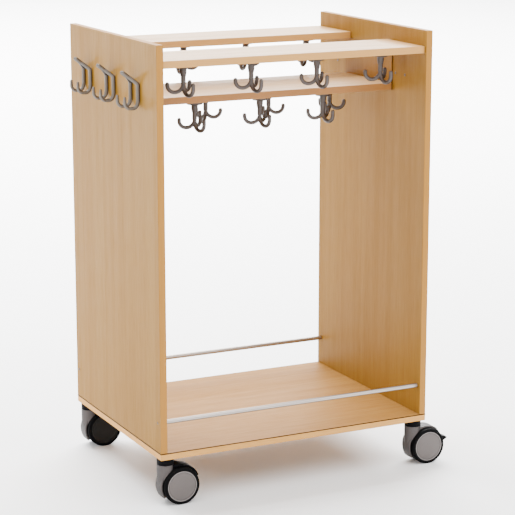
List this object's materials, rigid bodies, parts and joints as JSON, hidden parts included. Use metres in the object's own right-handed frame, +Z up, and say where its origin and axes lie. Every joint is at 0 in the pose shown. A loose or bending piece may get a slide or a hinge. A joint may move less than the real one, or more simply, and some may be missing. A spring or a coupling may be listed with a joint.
{
  "type": "mobile coat rack",
  "caption": "Mobile coat rack for children: tall wooden side panels on a castered base board, boards with swivelling hooks between them, wire hooks on the sides and low shoe rods.",
  "frame": {"origin": "point on the floor below the centre of the base board", "axes": "+Z up, +X to the right seen from the front, the front faces -Y"},
  "size_m": [0.9268, 0.608, 1.21],
  "materials": {
    "panel_wood": "satin lacquer",
    "board_wood": "satin lacquer",
    "base_wood": "satin lacquer",
    "plate_brown": "matt",
    "rod_steel": "satin",
    "wire_nickel": "satin nickel",
    "hook_metal": "satin taupe",
    "caster_black": "satin",
    "caster_grey": "satin",
    "hub_grey": "satin",
    "tyre_black": "matt",
    "axle_steel": "bright"
  },
  "bodies": {
    "rack": {"back_top_board": "board_wood", "base_board": "base_wood", "caster_collars": "caster_black", "end_plates": "plate_brown", "front_rod": "rod_steel", "front_top_board": "board_wood", "hook_bases": "hook_metal", "left_panel": "panel_wood", "left_side_hooks": "wire_nickel", "middle_board": "board_wood", "rear_rod": "rod_steel", "right_panel": "panel_wood", "right_side_hooks": "wire_nickel"},
    "front_hook_1": {"front_hook_1": "hook_metal"},
    "front_hook_2": {"front_hook_2": "hook_metal"},
    "front_hook_3": {"front_hook_3": "hook_metal"},
    "front_hook_4": {"front_hook_4": "hook_metal"},
    "near_hook_1": {"near_hook_1": "hook_metal"},
    "near_hook_2": {"near_hook_2": "hook_metal"},
    "near_hook_3": {"near_hook_3": "hook_metal"},
    "far_hook_1": {"far_hook_1": "hook_metal"},
    "far_hook_2": {"far_hook_2": "hook_metal"},
    "far_hook_3": {"far_hook_3": "hook_metal"},
    "far_hook_4": {"far_hook_4": "hook_metal"},
    "back_hook_1": {"back_hook_1": "hook_metal"},
    "back_hook_2": {"back_hook_2": "hook_metal"},
    "back_hook_3": {"back_hook_3": "hook_metal"},
    "back_hook_4": {"back_hook_4": "hook_metal"},
    "front_left_caster": {"front_left_axle": "axle_steel", "front_left_cover": "caster_black", "front_left_housing": "caster_grey"},
    "front_left_outer_wheel": {"front_left_outer_hub": "hub_grey", "front_left_outer_tyre": "tyre_black"},
    "front_left_inner_wheel": {"front_left_inner_hub": "hub_grey", "front_left_inner_tyre": "tyre_black"},
    "front_right_caster": {"front_right_axle": "axle_steel", "front_right_housing": "caster_grey"},
    "front_right_outer_wheel": {"front_right_outer_hub": "hub_grey", "front_right_outer_tyre": "tyre_black"},
    "front_right_inner_wheel": {"front_right_inner_hub": "hub_grey", "front_right_inner_tyre": "tyre_black"},
    "front_right_pedal": {"front_right_pedal": "caster_black"},
    "rear_left_caster": {"rear_left_axle": "axle_steel", "rear_left_housing": "caster_grey"},
    "rear_left_outer_wheel": {"rear_left_outer_hub": "hub_grey", "rear_left_outer_tyre": "tyre_black"},
    "rear_left_inner_wheel": {"rear_left_inner_hub": "hub_grey", "rear_left_inner_tyre": "tyre_black"},
    "rear_left_pedal": {"rear_left_pedal": "caster_black"},
    "rear_right_caster": {"rear_right_axle": "axle_steel", "rear_right_cover": "caster_black", "rear_right_housing": "caster_grey"},
    "rear_right_outer_wheel": {"rear_right_outer_hub": "hub_grey", "rear_right_outer_tyre": "tyre_black"},
    "rear_right_inner_wheel": {"rear_right_inner_hub": "hub_grey", "rear_right_inner_tyre": "tyre_black"}
  },
  "joints": [
    {"name": "front_hook_1_swivel", "type": "hinge", "parent": "rack", "child": "front_hook_1", "pos_m": [-0.2895, -0.215, 1.121], "axis": [0, 0, 1], "continuous": true},
    {"name": "front_hook_2_swivel", "type": "hinge", "parent": "rack", "child": "front_hook_2", "pos_m": [-0.0965, -0.215, 1.121], "axis": [0, 0, 1], "continuous": true},
    {"name": "front_hook_3_swivel", "type": "hinge", "parent": "rack", "child": "front_hook_3", "pos_m": [0.0965, -0.215, 1.121], "axis": [0, 0, 1], "continuous": true},
    {"name": "front_hook_4_swivel", "type": "hinge", "parent": "rack", "child": "front_hook_4", "pos_m": [0.2895, -0.215, 1.121], "axis": [0, 0, 1], "continuous": true},
    {"name": "near_hook_1_swivel", "type": "hinge", "parent": "rack", "child": "near_hook_1", "pos_m": [-0.193, -0.07, 1.003], "axis": [0, 0, 1], "continuous": true},
    {"name": "near_hook_2_swivel", "type": "hinge", "parent": "rack", "child": "near_hook_2", "pos_m": [0, -0.07, 1.003], "axis": [0, 0, 1], "continuous": true},
    {"name": "near_hook_3_swivel", "type": "hinge", "parent": "rack", "child": "near_hook_3", "pos_m": [0.193, -0.07, 1.003], "axis": [0, 0, 1], "continuous": true},
    {"name": "far_hook_1_swivel", "type": "hinge", "parent": "rack", "child": "far_hook_1", "pos_m": [-0.2895, 0.07, 1.003], "axis": [0, 0, 1], "continuous": true},
    {"name": "far_hook_2_swivel", "type": "hinge", "parent": "rack", "child": "far_hook_2", "pos_m": [-0.0965, 0.07, 1.003], "axis": [0, 0, 1], "continuous": true},
    {"name": "far_hook_3_swivel", "type": "hinge", "parent": "rack", "child": "far_hook_3", "pos_m": [0.0965, 0.07, 1.003], "axis": [0, 0, 1], "continuous": true},
    {"name": "far_hook_4_swivel", "type": "hinge", "parent": "rack", "child": "far_hook_4", "pos_m": [0.2895, 0.07, 1.003], "axis": [0, 0, 1], "continuous": true},
    {"name": "back_hook_1_swivel", "type": "hinge", "parent": "rack", "child": "back_hook_1", "pos_m": [-0.2895, 0.215, 1.121], "axis": [0, 0, 1], "continuous": true},
    {"name": "back_hook_2_swivel", "type": "hinge", "parent": "rack", "child": "back_hook_2", "pos_m": [-0.0965, 0.215, 1.121], "axis": [0, 0, 1], "continuous": true},
    {"name": "back_hook_3_swivel", "type": "hinge", "parent": "rack", "child": "back_hook_3", "pos_m": [0.0965, 0.215, 1.121], "axis": [0, 0, 1], "continuous": true},
    {"name": "back_hook_4_swivel", "type": "hinge", "parent": "rack", "child": "back_hook_4", "pos_m": [0.2895, 0.215, 1.121], "axis": [0, 0, 1], "continuous": true},
    {"name": "front_left_swivel", "type": "hinge", "parent": "rack", "child": "front_left_caster", "pos_m": [-0.376, -0.272, 0.112], "axis": [0, 0, 1], "continuous": true},
    {"name": "front_left_outer_roll", "type": "hinge", "parent": "front_left_caster", "child": "front_left_outer_wheel", "pos_m": [-0.341, -0.29275, 0.05], "axis": [0, 1, 0], "continuous": true},
    {"name": "front_left_inner_roll", "type": "hinge", "parent": "front_left_caster", "child": "front_left_inner_wheel", "pos_m": [-0.341, -0.25125, 0.05], "axis": [0, 1, 0], "continuous": true},
    {"name": "front_right_swivel", "type": "hinge", "parent": "rack", "child": "front_right_caster", "pos_m": [0.376, -0.272, 0.112], "axis": [0, 0, 1], "continuous": true},
    {"name": "front_right_outer_roll", "type": "hinge", "parent": "front_right_caster", "child": "front_right_outer_wheel", "pos_m": [0.411, -0.29275, 0.05], "axis": [0, 1, 0], "continuous": true},
    {"name": "front_right_inner_roll", "type": "hinge", "parent": "front_right_caster", "child": "front_right_inner_wheel", "pos_m": [0.411, -0.25125, 0.05], "axis": [0, 1, 0], "continuous": true},
    {"name": "front_right_pedal_hinge", "type": "hinge", "parent": "front_right_caster", "child": "front_right_pedal", "pos_m": [0.44656, -0.272, 0.09091], "axis": [0, -1, 0], "range_deg": [0, 15]},
    {"name": "rear_left_swivel", "type": "hinge", "parent": "rack", "child": "rear_left_caster", "pos_m": [-0.376, 0.272, 0.112], "axis": [0, 0, 1], "continuous": true},
    {"name": "rear_left_outer_roll", "type": "hinge", "parent": "rear_left_caster", "child": "rear_left_outer_wheel", "pos_m": [-0.341, 0.29275, 0.05], "axis": [0, 1, 0], "continuous": true},
    {"name": "rear_left_inner_roll", "type": "hinge", "parent": "rear_left_caster", "child": "rear_left_inner_wheel", "pos_m": [-0.341, 0.25125, 0.05], "axis": [0, 1, 0], "continuous": true},
    {"name": "rear_left_pedal_hinge", "type": "hinge", "parent": "rear_left_caster", "child": "rear_left_pedal", "pos_m": [-0.30544, 0.272, 0.09091], "axis": [0, -1, 0], "range_deg": [0, 15]},
    {"name": "rear_right_swivel", "type": "hinge", "parent": "rack", "child": "rear_right_caster", "pos_m": [0.376, 0.272, 0.112], "axis": [0, 0, 1], "continuous": true},
    {"name": "rear_right_outer_roll", "type": "hinge", "parent": "rear_right_caster", "child": "rear_right_outer_wheel", "pos_m": [0.411, 0.29275, 0.05], "axis": [0, 1, 0], "continuous": true},
    {"name": "rear_right_inner_roll", "type": "hinge", "parent": "rear_right_caster", "child": "rear_right_inner_wheel", "pos_m": [0.411, 0.25125, 0.05], "axis": [0, 1, 0], "continuous": true}
  ]
}
